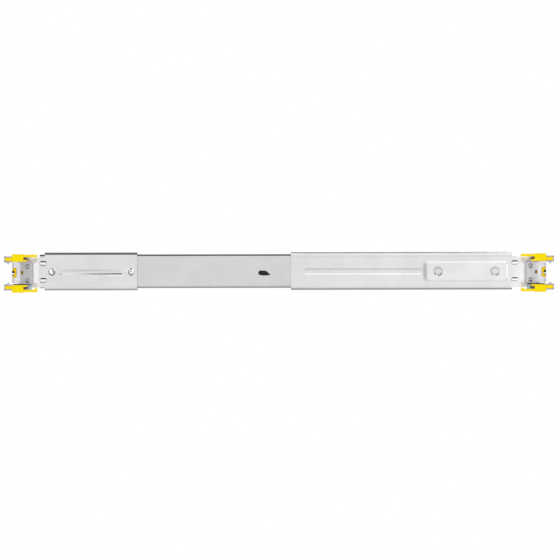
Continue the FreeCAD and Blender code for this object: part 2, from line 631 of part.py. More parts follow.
def rear_channel():
    body = to_rear(channel(REAR_CHANNEL_MARGIN, REAR_CHANNEL_REACH, REAR_CHANNEL_MARGIN, REAR_GROOVE))
    body = joined([body, plateau(0, CHANNEL_FACE_Y, CHANNEL_FACE_Y - PLATEAU_RISE)])
    body = body.cut(plateau(-PRESSED_WALL, CHANNEL_BACK_Y, CHANNEL_BACK_Y - PLATEAU_RISE))
    raised = CHANNEL_FACE_Y - PLATEAU_RISE
    for x in GUIDE_RIVET_X:
        body = body.fuse(dimple(x, PRESSED_WALL, raised + DIMPLE_RIM, CHANNEL_BACK_Y))
        body = body.cut(dimple(x, 0, raised, DIMPLE_FLOOR_Y))
        body = body.cut(guide_rivet(x))
    return body.removeSplitter()


def glide_strip():
    """Low-friction strip inside the plateau that the outer member runs on."""
    raised_back = CHANNEL_BACK_Y - PLATEAU_RISE + RUN_GAP
    back = OUTER_FACE_Y - RUN_GAP
    half = PLATEAU_HEIGHT / 2 - GLIDE_MARGIN
    x = (PLATEAU_START + PLATEAU_RAMP + GLIDE_MARGIN, PLATEAU_END - GLIDE_MARGIN)
    z = (FASTENER_Z - half, FASTENER_Z + half)
    strip = drafted(x, z, PLATEAU_CORNER, raised_back, x, z, PLATEAU_CORNER, back)
    for place in GUIDE_RIVET_X:
        strip = strip.cut(rod(DIMPLE_R + SHEET, (place, raised_back - 1, FASTENER_Z), (0, 1, 0),
                              CHANNEL_BACK_Y - raised_back + 1))
        strip = strip.cut(guide_rivet(place))
    return strip


# ---- rivets ------------------------------------------------------------------------------------
def rivet(place, head, sizes, face_y, end_y, spacer=()):
    """Rivet with its head on the face, upset flush into a countersink at its far end."""
    radius, shank, height = sizes
    points = [(radius * share, face_y - height * rise) for share, rise in head]
    points += [(radius, face_y), (shank, face_y), *spacer]
    points += [(shank, end_y - COUNTERSINK), (shank + COUNTERSINK, end_y), (0, end_y)]
    return turned(points, *place)


def head_rivet(sign):
    return rivet((HEAD_RIVET_X, sign * HEAD_RIVET_Z), DISHED_HEAD,
                 (HEAD_RIVET_R, HEAD_RIVET_SHANK, HEAD_RIVET_HEIGHT), LEG_FACE_Y, HEAD_BACK_Y)


def channel_rivet(x):
    wide = CHANNEL_RIVET_SHANK + CHANNEL_SHOULDER
    spacer = [(CHANNEL_RIVET_SHANK, CHANNEL_BACK_Y), (wide, CHANNEL_BACK_Y), (wide, OUTER_FACE_Y),
              (CHANNEL_RIVET_SHANK, OUTER_FACE_Y)]
    return rivet((x, FASTENER_Z), DOMED_HEAD, (CHANNEL_RIVET_R, CHANNEL_RIVET_SHANK, CHANNEL_RIVET_HEIGHT),
                 CHANNEL_FACE_Y, OUTER_FACE_Y + MEMBER, spacer)


def guide_rivet(x):
    return rivet((x, FASTENER_Z), FLAT_HEAD, (GUIDE_RIVET_R, GUIDE_RIVET_SHANK, GUIDE_RIVET_HEIGHT),
                 DIMPLE_FLOOR_Y, OUTER_FACE_Y - RUN_GAP)


# ---- head pieces, front head -----------------------------------------------------------------------
def end_plate():
    """Flange that meets the rack post, bent round into the leg that is riveted to the head."""
    turn = FLANGE_BEND_ANGLE
    lean = math.radians(90 - turn)
    first_dx = FLANGE_BEND * (1 - math.cos(math.radians(turn)))
    first_dy = FLANGE_BEND * math.sin(math.radians(turn))
    last_dx = LEG_BEND * math.sin(lean)
    last_dy = LEG_BEND * (1 - math.cos(lean))
    slope = (LEG_START - PLATE / 2 - first_dx - last_dx) / math.cos(lean)
    flat = LEG_MID_Y - last_dy - slope * math.sin(lean) - first_dy + FLANGE_OUTBOARD
    steps = [("run", flat), ("bend", FLANGE_BEND, -turn), ("run", slope), ("bend", LEG_BEND, turn - 90),
             ("run", PLATE_REAR - LEG_START)]
    face = strip_face((PLATE / 2, -FLANGE_OUTBOARD), 90, steps, PLATE, in_plan(-FLANGE_LOW))
    body = face.extrude(V(0, 0, FLANGE_LOW + FLANGE_HALF))
    body = body.cut([rod(INSERT_R, (0, 0, 0), (1, 0, 0), INSERT_LENGTH), mouth(), peg(0)])
    for sign in (1, -1):
        body = body.cut(head_rivet(sign))
    return body


def prong_bracket():
    """Plate with the two channel-shaped prongs that enter the rack's square holes."""
    steps = [("run", PLATE_REAR - LEG_START)]
    steps += stepped(BRACKET_MID_Y - PRONG_WEB_Y, PRONG_STEP_ANGLE, PRONG_STEP_BEND, 1)
    start = (PLATE_REAR, BRACKET_MID_Y)
    reached, _ = strip_end(start, 180, steps)
    steps.append(("run", reached.real + PRONG_TIP))
    body = strip_face(start, 180, steps, PLATE, in_plan(-PRONG_HIGH)).extrude(V(0, 0, 2 * PRONG_HIGH))
    gap = box((-2 * PRONG_TIP, LEG_START), (0, HEAD_BACK_Y), (-PRONG_LOW, PRONG_LOW))
    body = body.cut(gap)
    outline = [(-PRONG_TIP + PRONG_LEAD, PRONG_OPEN_Y), (PLATE_REAR, PRONG_OPEN_Y),
               (PLATE_REAR, BRACKET_MID_Y), (LEG_START, BRACKET_MID_Y), (reached.real, PRONG_WEB_Y),
               (-PRONG_TIP, PRONG_WEB_Y), (-PRONG_TIP, PRONG_OPEN_Y + PRONG_LEAD)]
    inner = polygon(outline, in_plan(PRONG_LOW), V(0, 0, PLATE))
    outer = polygon(outline, in_plan(PRONG_HIGH - PLATE), V(0, 0, PLATE))
    behind = box((PRONG_OUTER_LENGTH, RAIL_LENGTH), (COVER_FACE_Y, HEAD_BACK_Y), (0, 2 * PRONG_HIGH))
    outer = outer.cut(behind)
    slot = box((-2 * PRONG_TIP, BARB_BACK_X + BARB_ROOM), (HOOK_Y - RUN_GAP, HOOK_Y + HOOK + RUN_GAP),
               (0, PRONG_LOW + PLATE))
    seat = box((SPRING_SEAT_X, SPRING_SEAT_X + SPRING_SEAT),
               (PRONG_OPEN_Y + SEAT_MARGIN, HOOK_Y - SEAT_MARGIN), (PRONG_LOW, PRONG_HIGH - PLATE - RUN_GAP))
    prong = joined([inner, seat]).cut(slot)
    parts = [body, prong, outer, mirrored_up(prong), mirrored_up(outer)]
    body = joined(parts).cut(peg(0))
    for sign in (1, -1):
        body = body.cut(head_rivet(sign))
        body = body.cut(pin_hole(sign))
    return body


def peg(gap):
    """Moulded locating peg that shows in the leg's small slot."""
    x = (PEG_X - PEG_HALF_X + gap, PEG_X + PEG_HALF_X - gap)
    z = (PEG_Z - PEG_HALF_Z + gap, PEG_Z + PEG_HALF_Z - gap)
    return drafted(x, z, PEG_HALF_X, LEG_FACE_Y, x, z, PEG_HALF_X, HEAD_BACK_Y)


def locating_peg():
    """The peg stands a little below the leg's face."""
    return peg(0).cut(box((0, PLATE_REAR), (0, LEG_FACE_Y + PLATE * 0.5), (-FLANGE_HALF, FLANGE_HALF)))


def threaded_insert():
    barrel = rod(INSERT_R, (0, 0, 0), (1, 0, 0), INSERT_LENGTH)
    return barrel.cut(rod(THREAD_R, (0, 0, 0), (1, 0, 0), INSERT_LENGTH))


def mouth():
    """Round opening that shows the insert's side, through the flange and the holder."""
    depth = FLANGE_OUTBOARD + SHEET
    return rod(MOUTH_R, (MOUTH_X, -depth, MOUTH_Z), (0, 1, 0), depth)


def insert_holder():
    """D-shaped moulding behind the flange, open outboard round the insert."""
    low, high = HOLDER_Z - HOLDER_HEIGHT / 2, HOLDER_Z + HOLDER_HEIGHT / 2
    block = box((PLATE, HOLDER_BACK), (HOLDER_OUTBOARD, HOLDER_INBOARD), (low, high))
    edges = [edge for edge in edges_along_y(block) if edge.CenterOfMass.x > HOLDER_BACK / 2 + PLATE]
    block = block.makeFillet(HOLDER_CORNER, edges)
    block = block.cut(rod(INSERT_R, (0, 0, 0), (1, 0, 0), INSERT_LENGTH))
    pieces = block.cut([mouth(), end_plate()]).Solids
    return max(pieces, key=lambda piece: piece.Volume)


def wear_strip():
    """Black strip along the lower prong's inner flange, beside the release slide's cover."""
    corners = [(STRIP_OUTBOARD, STRIP_LOW), (PRONG_OPEN_Y, STRIP_LOW), (PRONG_OPEN_Y, -PRONG_LOW),
               (STRIP_INBOARD, -PRONG_LOW), (STRIP_INBOARD, STRIP_HIGH), (STRIP_OUTBOARD, STRIP_HIGH)]
    return polygon(corners, in_section(STRIP_START), V(STRIP_END - STRIP_START, 0, 0))


def hook_pin():
    """Shouldered pin for the upper hook: headed outboard, upset flush in the head plate."""
    hook_face, hook_back = HOOK_Y - RUN_GAP, HOOK_Y + HOOK + RUN_GAP
    shoulder_end = BRACKET_MID_Y - PLATE / 2
    head_r, head_face = HOOK_PIN_R + HOOK_PIN_HEAD, hook_face - HOOK_PIN_HEAD
    return turned([(0, head_face), (head_r, head_face), (head_r, hook_face),
                   (HOOK_PIN_R, hook_face), (HOOK_PIN_R, hook_back), (HOOK_HUB_R, hook_back),
                   (HOOK_HUB_R, shoulder_end), (HOOK_PIN_R, shoulder_end), (HOOK_PIN_R, HEAD_BACK_Y),
                   (0, HEAD_BACK_Y)], HOOK_PIVOT_X, PRONG_CENTRE)


def hook():
    """Upper latch hook: a flat bar with a barb that catches the edge of the square hole."""
    low = NOSE_LOW + RUN_GAP
    notch = low + CAM_RISE
    foot, front, back = CAM_NOTCH
    back_x = HOOK_PIVOT_X - HOOK_PIN_R
    outline = [(HOOK_TIP_X, low), (BARB_APEX_X, BARB_APEX_Z), (BARB_BACK_X, low),
               (CAM_FRONT - foot, low), (CAM_FRONT - front, notch), (CAM_BACK + back, notch),
               (CAM_BACK + CAM_RAMP, low), (back_x, low), (back_x, PRONG_CENTRE + HOOK_BACK_RISE),
               (HOOK_TIP_X, low + HOOK_TIP_HEIGHT)]
    bar = polygon(outline, in_side(HOOK_Y), V(0, HOOK, 0))
    hub = rod(HOOK_HUB_R, (HOOK_PIVOT_X, HOOK_Y, PRONG_CENTRE), (0, 1, 0), HOOK)
    bore = rod(HOOK_PIN_R + HOOK_PIN_PLAY, (HOOK_PIVOT_X, HOOK_Y, PRONG_CENTRE), (0, 1, 0), HOOK)
    return joined([bar, hub]).cut(bore)


def release_slide(thumb_drop):
    """Upper touch piece: nose inside the prong, body round its flange, thumb arm and short leg."""
    nose = polygon([(-NOSE_LENGTH, COVER_BACK_Y + 2 * NOSE_LEAD), (-NOSE_LENGTH + NOSE_LEAD, COVER_BACK_Y),
                    (NOSE_BACK, COVER_BACK_Y), (NOSE_BACK, NOSE_INBOARD_Y), (-NOSE_LENGTH, NOSE_INBOARD_Y)],
                   in_plan(NOSE_LOW), V(0, 0, NOSE_HIGH - NOSE_LOW))
    cover = box((RUN_GAP, BODY_BACK), (COVER_FACE_Y, COVER_BACK_Y), (BODY_LOW, BODY_HIGH))
    roof = box((RUN_GAP, BODY_BACK), (COVER_BACK_Y, -PRONG_OPEN_Y), (PRONG_HIGH + RUN_GAP, BODY_HIGH))
    arm = box((BODY_BACK, ARM_END - THUMB_CORNER), (COVER_FACE_Y, ARM_INBOARD_Y), (ARM_LOW, ARM_HIGH))
    thumb = box((ARM_END - THUMB, ARM_END), (COVER_FACE_Y, ARM_INBOARD_Y), (ARM_LOW - thumb_drop, ARM_HIGH))
    thumb = thumb.makeFillet(THUMB_CORNER, edges_along_y(thumb))
    outline = [(BODY_BACK + x, BODY_LOW + z) for x, z in SLIDE_LEG]
    leg = polygon(outline, in_side(COVER_FACE_Y), V(0, COVER, 0))
    cam = box((CAM_FRONT, CAM_BACK), (NOSE_INBOARD_Y, HOOK_Y + HOOK), (NOSE_LOW, NOSE_LOW + CAM_RISE))
    body = joined([cover, roof])
    corners = [edge for edge in edges_along_y(body) if edge.CenterOfMass.z > BODY_HIGH - BODY_CORNER]
    body = body.makeFillet(BODY_CORNER, corners)
    return joined([body, nose, arm, thumb, leg, cam])


def return_spring():
    """Serpentine flat spring between the nose and its seat."""
    start = NOSE_BACK + SPRING_PLAY
    length = SPRING_SEAT_X - SPRING_PLAY - start
    bend = (length - SPRING_STRIP) / (2 * SPRING_FOLDS)
    rise = SPRING_HEIGHT - 2 * bend - SPRING_STRIP
    steps = [("run", rise)]
    for fold in range(SPRING_FOLDS):
        steps += [("bend", bend, -180 if fold % 2 == 0 else 180), ("run", rise)]
    foot = (start + SPRING_STRIP / 2, PRONG_CENTRE - rise / 2)
    face = strip_face(foot, 90, steps, SPRING_STRIP, in_side(SPRING_Y - SPRING_WIDTH / 2))
    return face.extrude(V(0, SPRING_WIDTH, 0))


def head_pieces():
    """Pieces of the front head by name, without the moving ones."""
    return {
        "prong_bracket": prong_bracket(),
        "end_plate": end_plate(),
        "insert_holder": insert_holder(),
        "threaded_insert": threaded_insert(),
        "locating_peg": locating_peg(),
        "wear_strip": wear_strip(),
        "head_rivets": Part.makeCompound([head_rivet(1), head_rivet(-1)]),
        "hook_pins": Part.makeCompound([hook_pin(), mirrored_up(hook_pin())]),
        "upper_return_spring": return_spring(),
        "lower_return_spring": mirrored_up(return_spring()),
        "upper_release_slide": release_slide(UPPER_THUMB_DROP),
        "lower_release_slide": mirrored_up(release_slide(LOWER_THUMB_DROP)),
        "upper_latch_hook": hook(),
        "lower_latch_hook": mirrored_up(hook()),
    }


def model():
    """Every node of the rail by name."""
    nodes = {
        "front_channel": front_channel(),
        "rear_channel": rear_channel(),
        "channel_rivets": Part.makeCompound([channel_rivet(x) for x in CHANNEL_RIVET_X]),
        "glide_rivets": Part.makeCompound([guide_rivet(x) for x in GUIDE_RIVET_X]),
        "glide_strip": glide_strip(),
        "outer_slide_member": outer_member(),
        "middle_slide_member": middle_member(),
        "inner_slide_member": inner_member(),
        "outer_ball_cage": cage(OUTER_FACE_Y + MEMBER + MIDDLE_GAP / 2, OUTER_BALL, OUTER_CAGE_START),
        "outer_balls": balls(OUTER_BALL, OUTER_CAGE_START),
        "inner_ball_cage": cage(MIDDLE_FACE_Y + MEMBER + INNER_CAGE_GAP + CAGE / 2, INNER_BALL,
                                INNER_CAGE_START),
        "inner_balls": balls(INNER_BALL, INNER_CAGE_START),
        "disconnect_lever": disconnect_lever(),
        "lever_rivet": lever_rivet(),
        "closed_stop_bumper": closed_stop_bumper(),
        "front_slide_pad": front_slide_pad(),
        "rear_end_buffer": rear_end_buffer(),
    }
    for name, shape in head_pieces().items():
        nodes["front_" + name] = shape
        nodes["rear_" + name] = to_rear(shape)
    return nodes


os.makedirs("parts", exist_ok=True)
for name, shape in model().items():
    print(name, "valid", shape.isValid(), "solids", len(shape.Solids), "volume", round(shape.Volume, 1))
    shape.exportStep(os.path.join("parts", name + ".step"))
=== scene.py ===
"""Dresses the sliding server rail: finishes of steel, plastic and springs, lights and camera."""
import json
import math

import bpy
import numpy as np
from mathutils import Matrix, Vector

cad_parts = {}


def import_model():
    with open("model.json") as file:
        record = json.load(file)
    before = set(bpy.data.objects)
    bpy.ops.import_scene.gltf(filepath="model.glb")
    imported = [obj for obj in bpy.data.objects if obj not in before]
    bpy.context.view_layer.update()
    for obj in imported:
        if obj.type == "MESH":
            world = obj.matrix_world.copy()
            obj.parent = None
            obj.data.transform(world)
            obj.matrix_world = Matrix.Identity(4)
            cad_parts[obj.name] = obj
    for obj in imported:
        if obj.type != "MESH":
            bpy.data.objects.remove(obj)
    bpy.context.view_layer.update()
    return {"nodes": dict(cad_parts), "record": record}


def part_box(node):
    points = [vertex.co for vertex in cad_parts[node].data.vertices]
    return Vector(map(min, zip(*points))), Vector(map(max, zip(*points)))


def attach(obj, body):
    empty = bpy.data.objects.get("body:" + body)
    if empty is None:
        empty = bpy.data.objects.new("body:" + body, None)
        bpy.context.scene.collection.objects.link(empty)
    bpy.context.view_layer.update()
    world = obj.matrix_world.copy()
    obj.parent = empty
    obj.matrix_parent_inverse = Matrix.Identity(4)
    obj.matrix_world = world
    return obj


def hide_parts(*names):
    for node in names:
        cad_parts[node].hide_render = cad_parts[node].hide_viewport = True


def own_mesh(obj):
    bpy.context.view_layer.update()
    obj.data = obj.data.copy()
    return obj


MM = 0.001

# Folded flat return springs: strip thickness, folds, and steps in a bend.
SPRING_STRIP = 0.3 * MM
SPRING_FOLDS = 4
SPRING_ARC_STEPS = 10

# Noise values between which a mottled effect grows from none to full: usual and tight.
MOTTLE = (0.3, 0.7)
TIGHT_MOTTLE = (0.35, 0.65)

# Edge mask, for rubbed edges and for painted edge shade: samples of the bevel, how unevenly it
# breaks up, and the turns of the normal that count as none and as a full edge.
EDGE_MASK_SAMPLES = 4
EDGE_MASK_BREAK = (0.6, 1.6)
EDGE_MASK_TURN = (0.01, 0.16)

# Rolled strip: how far grain and streaks are drawn out along the rail, and the streaks' fineness.
GRAIN_STRETCH = (0.03, 1.0, 1.0)
STREAK_STRETCH = (0.25, 1.0, 1.0)
STREAK_FINENESS = 60.0

# Zinc plating: share and brightness of the rolled streaks, fineness of the specks as a multiple of
# the clouds', noise values that they grow between and the roughness that they add, swing of the
# roughness with the grain, shine of worn edges, and the grain's relief.
STREAK_SHARE, STREAK_LIFT, BRIGHTEST = 0.5, 1.12, 0.95
SPECK_FINENESS, SPECK_RISE, SPECK_ROUGHNESS = 28.0, (0.5, 0.75), 0.08
GRAIN_ROUGHNESS = (-0.05, 0.07)
WORN_SHINE = 0.1
GRAIN_RELIEF, GRAIN_DEPTH = 0.25, 0.02 * MM

# Moulded plastic: reach and strength of the edge colour, rubbed lighter on black and a darker
# orange painted shade on the yellow plastics, shine of rubbed edges, fineness of the colour's
# drift and of the spark texture, swing of the roughness with that texture, its depth, and plain
# reflection.
RUB_AND_SHADE_REACH, RUB_AND_SHADE_SHARE, RUB_SHINE = 0.9 * MM, 0.8, 0.12
DRIFT_FINENESS, SPARK_FINENESS = 120.0, 2600.0
SPARK_ROUGHNESS = (-0.06, 0.08)
SPARK_DEPTH = 0.04 * MM
PLASTIC_SPECULAR = 0.1

# Soft edges in millimetres: of a painted mark, of a small painted mark or a crescent's ring, and
# of the flat top of a crescent.
MARK_FADE, FINE_FADE, CRESCENT_FADE = 0.5, 0.3, 0.8

# Studio: level of the white surround by degrees up from the front wall, with a dim ceiling
# overhead, and level of the soft fill light by the height that it comes from.
SURROUND = ((-90, 1.0), (52, 1.0), (62, 0.22), (112, 0.18), (124, 1.0), (180, 1.0))
FILL = ((-1.0, 0.45), (-0.3, 0.80), (0.0, 1.10), (0.5, 1.10), (0.75, 0.75), (1.0, 0.65))

# Floor: half its side, height, middle and finish.
FLOOR_HALF, FLOOR_HEIGHT, FLOOR_MIDDLE = 3.0, -0.75, (0.29, 0.0)
FLOOR_TONE, FLOOR_ROUGHNESS = (0.80, 0.80, 0.80, 1.0), 0.8

# Soft lamps: name, place, target, size and power.
MID_RAIL = (0.29, 0, 0)
LAMPS = (
    ("Top right", (0.66, 0.0, 0.55), (0.50, 0, 0), (0.40, 0.12), 0.60),
    ("High front", (0.29, -0.70, 0.72), MID_RAIL, (1.8, 0.12), 0.70),
    ("Low front", (0.29, -0.70, -0.70), MID_RAIL, (1.8, 0.16), 0.45),
    ("Far right", (4.13, -3.2, 0.0), MID_RAIL, (1.3, 2.0), 4.5),
    ("Far left", (-3.55, -3.2, 0.0), MID_RAIL, (1.3, 2.0), 4.5),
)

# Camera: the point that it looks at, its distance, the width that it sees there, its film's width
# in millimetres, and a slight roll in degrees.
VIEW_CENTRE = (291.6 * MM, 4.5 * MM, -7.6 * MM)
VIEW_DISTANCE, VIEW_WIDTH = 4.0, 610.4 * MM
FILM_WIDTH = 36.0
VIEW_ROLL = 0.1

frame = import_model()


# ---- node building -----------------------------------------------------------------------
def feed(tree, socket, value):
    """Links an input to another node's socket, or sets it to a plain value."""
    if isinstance(value, bpy.types.NodeSocket):
        tree.links.new(value, socket)
    else:
        socket.default_value = value


def node(tree, kind, **inputs):
    """A shader node with its inputs fed by name."""
    made = tree.nodes.new(kind)
    for name, value in inputs.items():
        feed(tree, made.inputs[name], value)
    return made


def maths(tree, operation, *values):
    """One Math node; each value is a number or a socket."""
    made = tree.nodes.new("ShaderNodeMath")
    made.operation = operation
    for socket, value in zip(made.inputs, values):
        feed(tree, socket, value)
    return made.outputs[0]


def vector_maths(tree, operation, first, second):
    """One Vector Math node on two sockets."""
    made = tree.nodes.new("ShaderNodeVectorMath")
    made.operation = operation
    tree.links.new(first, made.inputs[0])
    tree.links.new(second, made.inputs[1])
    return made


def blended(tree, factor, first, second):
    """Mix of two colours, each a socket or (red, green, blue)."""
    made = tree.nodes.new("ShaderNodeMix")
    made.data_type = "RGBA"
    feed(tree, made.inputs[0], factor)
    # Inputs 6 and 7 and output 2 are the node's colours.
    for socket, colour in ((made.inputs[6], first), (made.inputs[7], second)):
        feed(tree, socket, (*colour, 1.0) if isinstance(colour, tuple) else colour)
    return made.outputs[2]


def mixed_shader(tree, factor, first, second):
    """Mix of two shaders by a factor, all sockets."""
    made = tree.nodes.new("ShaderNodeMixShader")
    for socket, value in zip(made.inputs, (factor, first, second)):
        tree.links.new(value, socket)
    return made.outputs[0]


def spread(tree, value, low, high, to_low, to_high):
    """Remaps a value from one range to another, clamped."""
    made = tree.nodes.new("ShaderNodeMapRange")
    made.clamp = True
    for socket, number in zip(made.inputs[1:5], (low, high, to_low, to_high)):
        socket.default_value = number
    tree.links.new(value, made.inputs[0])
    return made.outputs[0]


def ramp(tree, value, stops):
    """Piecewise-linear curve through (position, level) stops."""
    made = tree.nodes.new("ShaderNodeValToRGB")
    low, high = stops[0][0], stops[-1][0]
    elements = made.color_ramp.elements
    while len(elements) < len(stops):
        elements.new(0.5)
    for element, (position, level) in zip(elements, stops):
        element.position = (position - low) / (high - low)
        element.color = (level, level, level, 1.0)
    tree.links.new(spread(tree, value, low, high, 0.0, 1.0), made.inputs[0])
    return made.outputs[0]


def within(tree, value, start, full, full_end, end):
    """1 where a place in mm lies between full and full_end, fading to 0 at start and at end."""
    rising = spread(tree, value, start * MM, full * MM, 0.0, 1.0)
    falling = spread(tree, value, full_end * MM, end * MM, 1.0, 0.0)
    return maths(tree, "MULTIPLY", rising, falling)


def inside(tree, place, along, up):
    """1 in a patch of a side face, given by its fades along X and up Z as within takes them."""
    return maths(tree, "MULTIPLY", within(tree, place.outputs["X"], *along),
                 within(tree, place.outputs["Z"], *up))


def crescent(tree, place, centre, radii, top):
    """The part below top of a ring round a centre (x, z) with two radii, all in mm."""
    across = maths(tree, "SUBTRACT", place.outputs["X"], centre[0] * MM)
    up = maths(tree, "SUBTRACT", place.outputs["Z"], centre[1] * MM)
    radius = maths(tree, "SQRT", maths(tree, "ADD", maths(tree, "MULTIPLY", across, across),
                                      maths(tree, "MULTIPLY", up, up)))
    inner, outer = radii
    ring = within(tree, radius, inner, inner + FINE_FADE, outer, outer + FINE_FADE)
    below = spread(tree, up, (top - CRESCENT_FADE) * MM, top * MM, 1.0, 0.0)
    return maths(tree, "MULTIPLY", ring, below)


def noise(tree, where, scale, detail, roughness=0.55):
    """Noise value in 0..1 at the given coordinates."""
    made = node(tree, "ShaderNodeTexNoise",
                Vector=where, Scale=scale, Detail=detail, Roughness=roughness)
    return made.outputs["Fac"]


def object_place(tree, stretch=(1.0, 1.0, 1.0)):
    """Object coordinates, stretched along each axis."""
    place = tree.nodes.new("ShaderNodeTexCoord").outputs["Object"]
    return node(tree, "ShaderNodeMapping", Scale=stretch, Vector=place).outputs[0]


def bumped(tree, shader, height, strength, distance):
    """Feeds a height into the shader's normal."""
    bump = node(tree, "ShaderNodeBump", Height=height, Strength=strength, Distance=distance)
    tree.links.new(bump.outputs[0], shader.inputs["Normal"])


def new_material(name):
    """Empty material: (material, its tree, its Principled shader)."""
    material = bpy.data.materials.new(name)
    material.use_nodes = True
    tree = material.node_tree
    return material, tree, tree.nodes["Principled BSDF"]


# ---- shared effects ----------------------------------------------------------------------
def new_group(name, inputs, outputs):
    """Empty node group with named number inputs and outputs: (group, its entry, its exit)."""
    group = bpy.data.node_groups.new(name, "ShaderNodeTree")
    for label, default in inputs.items():
        socket = group.interface.new_socket(label, in_out="INPUT", socket_type="NodeSocketFloat")
        socket.default_value = default
    for label in outputs:
        group.interface.new_socket(label, in_out="OUTPUT", socket_type="NodeSocketFloat")
    return group, group.nodes.new("NodeGroupInput"), group.nodes.new("NodeGroupOutput")


def edge_mask_group():
    """Edge mask for rubbed edges and painted edge shade: how far the bevelled normal turns from
    the true one, broken up by noise.
    """
    group, entry, leave = new_group("Edge mask", {"Radius": 0.6 * MM, "Grain": 900.0}, ["Mask"])
    bevel = node(group, "ShaderNodeBevel", Radius=entry.outputs["Radius"])
    bevel.samples = EDGE_MASK_SAMPLES
    true_normal = group.nodes.new("ShaderNodeNewGeometry").outputs["Normal"]
    dot = vector_maths(group, "DOT_PRODUCT", bevel.outputs[0], true_normal)
    turned = maths(group, "SUBTRACT", 1.0, dot.outputs["Value"])
    grain = noise(group, object_place(group), entry.outputs["Grain"], detail=3.0)
    broken = maths(group, "MULTIPLY", turned, spread(group, grain, *MOTTLE, *EDGE_MASK_BREAK))
    group.links.new(spread(group, broken, *EDGE_MASK_TURN, 0.0, 1.0), leave.inputs["Mask"])
    return group


def rolled_grain_group():
    """Mill grain of rolled strip: noise drawn out along the rail, in two scales."""
    group, entry, leave = new_group("Rolled grain", {"Fineness": 900.0}, ["Fine", "Broad"])
    fineness = entry.outputs["Fineness"]
    fine = noise(group, object_place(group, GRAIN_STRETCH), fineness, detail=4.0, roughness=0.7)
    broad = noise(group, object_place(group, STREAK_STRETCH), STREAK_FINENESS,
                  detail=2.0, roughness=0.5)
    group.links.new(fine, leave.inputs["Fine"])
    group.links.new(broad, leave.inputs["Broad"])
    return group


def plating_cloud_group():
    """Passivation clouding of zinc plating: soft patches and small specks."""
    group, entry, leave = new_group("Plating cloud", {"Size": 45.0}, ["Cloud", "Speck"])
    where, size = object_place(group), entry.outputs["Size"]
    cloud = noise(group, where, size, detail=5.0, roughness=0.6)
    speck = noise(group, where, maths(group, "MULTIPLY", size, SPECK_FINENESS),
                  detail=2.0, roughness=0.5)
    group.links.new(cloud, leave.inputs["Cloud"])
    group.links.new(speck, leave.inputs["Speck"])
    return group


SHARED_EDGE_MASK = edge_mask_group()
ROLLED_GRAIN = rolled_grain_group()
PLATING_CLOUD = plating_cloud_group()


def use(tree, group, **inputs):
    """Places a shared group in a material with its own values."""
    made = tree.nodes.new("ShaderNodeGroup")
    made.node_tree = group
    for name, value in inputs.items():
        made.inputs[name].default_value = value
    return made


# ---- kinds of finish ---------------------------------------------------------------------
def plated_steel(name, tone, edge_wear_and_shade, roughness, grain, cloud,
                 painted_light=(), painted_marks=(), crescents=(), painted_white=()):
    """Zinc-plated sheet: rolled grain, clouding in colour and gloss, and edges tinted to an edge
    colour:
    lighter ones are rubbed bare metal, darker ones painted shade.

    grain and cloud are the strengths of the bright streaks and of the dark clouds. The optional
    lists
    give: levels of the tone by place along an axis as (axis, stops), painted light and shade;
    patches (X fades, Z fades, colour) of painted shade, highlights and reflections; part rings
    (centre, radii, top, colour) of painted shade; and white patches (X fades, Z fades) of painted
    light. Places are in millimetres.
    """
    material, tree, shader = new_material(name)
    edge_mask = use(tree, SHARED_EDGE_MASK).outputs["Mask"]
    rolled = use(tree, ROLLED_GRAIN)
    plating = use(tree, PLATING_CLOUD)
    dark = tuple(level * (1.0 - cloud) for level in tone)
    light = tuple(min(BRIGHTEST, level * STREAK_LIFT) for level in tone)
    clear = spread(tree, plating.outputs["Cloud"], *TIGHT_MOTTLE, 0.0, 1.0)
    streak = spread(tree, rolled.outputs["Broad"], *MOTTLE, 0.0, STREAK_SHARE)
    colour = blended(tree, maths(tree, "MULTIPLY", streak, grain),
                     blended(tree, clear, dark, tone), light)
    if painted_light or painted_marks or crescents or painted_white:
        place = node(tree, "ShaderNodeSeparateXYZ", Vector=object_place(tree))
    # Levels of painted light and shade by place.
    for axis, stops in painted_light:
        level = ramp(tree, place.outputs[axis], [(at * MM, level) for at, level in stops])
        colour = vector_maths(tree, "MULTIPLY", colour, level).outputs[0]
    # Painted marks of shade, highlight and reflection, and part rings of painted shade.
    for along, up, painted_colour in painted_marks:
        colour = blended(tree, inside(tree, place, along, up), colour, painted_colour)
    for centre, radii, top, painted_colour in crescents:
        colour = blended(tree, crescent(tree, place, centre, radii, top), colour, painted_colour)
    # Edge colour: rubbed bare metal where lighter than the tone, painted shade where darker.
    colour = blended(tree, edge_mask, colour, edge_wear_and_shade)
    metal = 1.0
    # White patches of painted light, which also take the metal away there.
    for along, up in painted_white:
        white_patch = inside(tree, place, along, up)
        colour = blended(tree, white_patch, colour, PAINTED_LIGHT_WHITE)
        metal = maths(tree, "SUBTRACT", metal, white_patch)
    feed(tree, shader.inputs["Metallic"], metal)
    tree.links.new(colour, shader.inputs["Base Color"])
    smooth, coarse = (roughness + swing for swing in GRAIN_ROUGHNESS)
    base = spread(tree, rolled.outputs["Fine"], *MOTTLE, smooth, coarse)
    speck = spread(tree, plating.outputs["Speck"], *SPECK_RISE, 0.0, SPECK_ROUGHNESS)
    shine = maths(tree, "MULTIPLY", edge_mask, WORN_SHINE)
    tree.links.new(maths(tree, "SUBTRACT", maths(tree, "ADD", base, speck), shine),
                   shader.inputs["Roughness"])
    bumped(tree, shader, rolled.outputs["Fine"], GRAIN_RELIEF, GRAIN_DEPTH)
    return material


